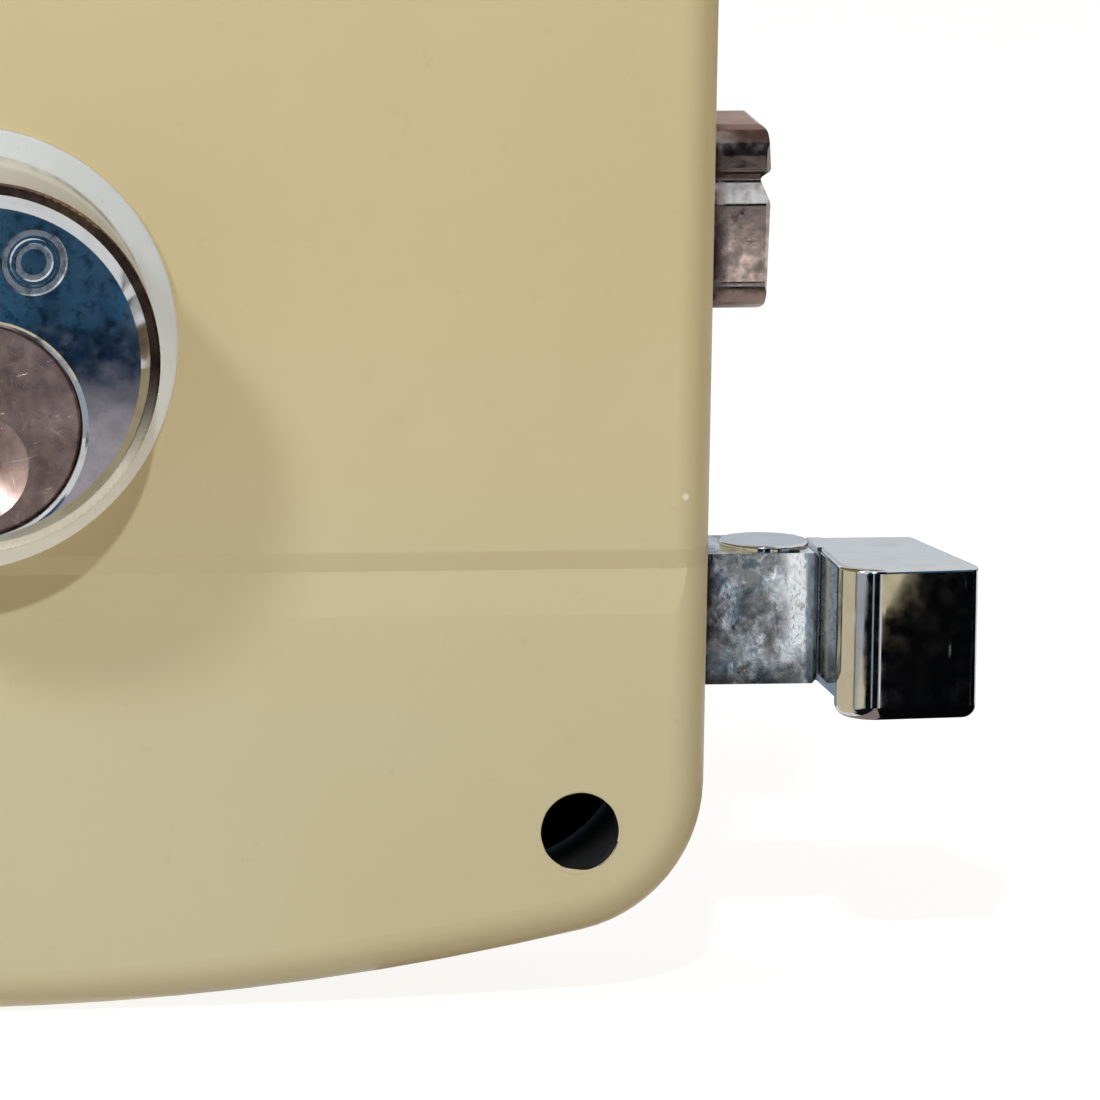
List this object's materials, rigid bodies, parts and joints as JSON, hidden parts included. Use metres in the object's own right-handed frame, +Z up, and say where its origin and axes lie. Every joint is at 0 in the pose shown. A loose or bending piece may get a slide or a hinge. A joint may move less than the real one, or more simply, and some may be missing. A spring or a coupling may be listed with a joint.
{
  "type": "rim door lock",
  "caption": "Surface-mounted rim door lock: cream painted case, round inside key cylinder, sliding deadbolt and sprung latch with a stepped head.",
  "frame": {"origin": "centre of the four fixing holes on the plate face that lies against the door, in line with the round inside cylinder", "axes": "+X the way the bolts throw, +Y from the room into the door, +Z up"},
  "size_m": [0.1424, 0.0387, 0.1046],
  "materials": {
    "cream_enamel": "satin stoving enamel",
    "plated_steel": "zinc plated",
    "spring_steel": "drawn wire",
    "polished_chrome": "mirror plated",
    "nickel_plate": "bright nickel plate over a cast skin",
    "brass": "turned",
    "nickel_brass": "satin, scratched",
    "white_plastic": "moulded, slightly translucent"
  },
  "bodies": {
    "case": {"case_cover": "cream_enamel", "back_plate": "plated_steel", "cover_posts": "plated_steel", "cover_screws": "plated_steel", "cylinder_body": "polished_chrome", "cylinder_snap_ring": "brass", "cylinder_collar": "white_plastic", "cylinder_nut": "brass", "front_guide": "plated_steel", "inner_guide": "plated_steel", "spring_stop": "plated_steel", "spring_rod": "spring_steel", "guide_rivets": "plated_steel", "thrust_post": "plated_steel", "lever_post": "plated_steel", "lever_clip": "spring_steel", "leaf_post": "plated_steel", "friction_leaf": "spring_steel", "latch_spring": "spring_steel", "driver_spring_1": "spring_steel", "driver_spring_2": "spring_steel", "driver_spring_3": "spring_steel", "driver_spring_4": "spring_steel", "driver_spring_5": "spring_steel"},
    "plug": {"cylinder_plug": "nickel_brass", "plug_clip": "spring_steel", "key_pins": "brass", "drive_hub": "plated_steel"},
    "deadbolt": {"deadbolt": "nickel_plate"},
    "latch": {"latch_slide": "nickel_plate", "latch_tongue": "polished_chrome", "latch_pin": "nickel_plate", "latch_pin_clip": "spring_steel"},
    "lever": {"retract_lever": "plated_steel"},
    "driver_pin_1": {"driver_pin_1": "brass"},
    "driver_pin_2": {"driver_pin_2": "brass"},
    "driver_pin_3": {"driver_pin_3": "brass"},
    "driver_pin_4": {"driver_pin_4": "brass"},
    "driver_pin_5": {"driver_pin_5": "brass"}
  },
  "joints": [
    {"name": "plug_turn", "type": "hinge", "parent": "case", "child": "plug", "pos_m": [0, -0.0263, -0.0048], "axis": [0, 1, 0], "range_deg": [0, 360]},
    {"name": "deadbolt_slide", "type": "slide", "parent": "case", "child": "deadbolt", "axis": [1, 0, 0], "range_m": [0, 0.02011]},
    {"name": "latch_slide", "type": "slide", "parent": "case", "child": "latch", "axis": [-1, 0, 0], "range_m": [0, 0.018], "stiffness_N_per_m": 330, "springref_m": -0.012, "deforming": ["latch_spring"]},
    {"name": "lever_swing", "type": "hinge", "parent": "case", "child": "lever", "pos_m": [-0.024, -0.0052, 0.0075], "axis": [0, 1, 0], "range_deg": [0, 31.4]},
    {"name": "driver_lift_1", "type": "slide", "parent": "case", "child": "driver_pin_1", "axis": [0, 0, 1], "range_m": [0, 0.0012], "stiffness_N_per_m": 15, "springref_m": -0.004, "deforming": ["driver_spring_1"]},
    {"name": "driver_lift_2", "type": "slide", "parent": "case", "child": "driver_pin_2", "axis": [0, 0, 1], "range_m": [0, 0.0012], "stiffness_N_per_m": 15, "springref_m": -0.004, "deforming": ["driver_spring_2"]},
    {"name": "driver_lift_3", "type": "slide", "parent": "case", "child": "driver_pin_3", "axis": [0, 0, 1], "range_m": [0, 0.0012], "stiffness_N_per_m": 15, "springref_m": -0.004, "deforming": ["driver_spring_3"]},
    {"name": "driver_lift_4", "type": "slide", "parent": "case", "child": "driver_pin_4", "axis": [0, 0, 1], "range_m": [0, 0.0012], "stiffness_N_per_m": 15, "springref_m": -0.004, "deforming": ["driver_spring_4"]},
    {"name": "driver_lift_5", "type": "slide", "parent": "case", "child": "driver_pin_5", "axis": [0, 0, 1], "range_m": [0, 0.0012], "stiffness_N_per_m": 15, "springref_m": -0.004, "deforming": ["driver_spring_5"]}
  ],
  "couplings": [
    {"joint": "plug_turn", "follows": "deadbolt_slide", "rad_per_m": 312.5},
    {"joint": "lever_swing", "follows": "latch_slide", "rad_per_m": 30.373}
  ]
}
